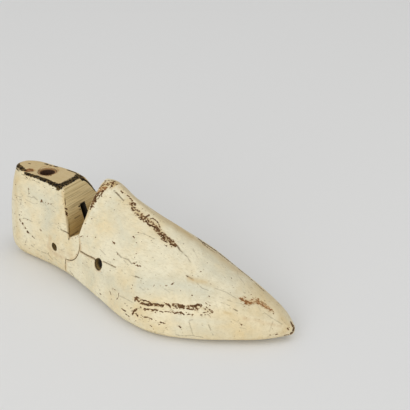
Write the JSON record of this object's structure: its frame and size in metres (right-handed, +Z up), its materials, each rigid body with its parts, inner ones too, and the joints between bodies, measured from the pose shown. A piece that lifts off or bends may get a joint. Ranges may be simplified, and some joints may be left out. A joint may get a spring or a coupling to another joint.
{
  "type": "hinged shoe last",
  "caption": "Foot-shaped wooden shoe last with a pointed toe, cut in two at a V notch, with a heel block that folds up on a sprung steel link and a jack-pin socket in its flat top.",
  "frame": {"origin": "middle of the last's length and width, on the floor that it stands on", "axes": "+X along the last towards the toe, +Y towards the flatter far side, +Z up"},
  "size_m": [0.2706, 0.0892, 0.0856],
  "materials": {
    "aged_cream_paint": "hard wood under old cream paint, chipped, stained and scuffed",
    "rusty_steel": "drawn tube, rusted",
    "dark_steel": "bright steel gone dark",
    "spring_steel": "oil-blackened spring wire"
  },
  "bodies": {
    "forepart": {"forepart": "aged_cream_paint", "front_hinge_pin": "dark_steel"},
    "heel": {"heel_block": "aged_cream_paint", "socket_thimble": "rusty_steel", "rear_hinge_pin": "dark_steel"},
    "link": {"hinge_link": "dark_steel", "link_spring": "spring_steel"},
    "seat": {"spring_seat": "dark_steel"}
  },
  "joints": [
    {"name": "heel_fold", "type": "hinge", "parent": "forepart", "child": "heel", "pos_m": [-0.0571, 0.00854, 0.037], "axis": [0, 1, 0], "range_deg": [0, 40], "stiffness_Nm_per_rad": 0.6},
    {"name": "link_swing", "type": "hinge", "parent": "heel", "child": "link", "pos_m": [-0.0721, 0.00854, 0.0252], "axis": [0, 1, 0], "range_deg": [-28, 0]},
    {"name": "seat_slide", "type": "slide", "parent": "link", "child": "seat", "axis": [0.9914, 0, 0.1306], "range_m": [0, 0.0042], "deforming": ["link_spring"]}
  ],
  "couplings": [
    {"joint": "link_swing", "follows": "heel_fold", "ratio": -0.692},
    {"joint": "seat_slide", "follows": "heel_fold", "m_per_rad": 0.0059}
  ]
}
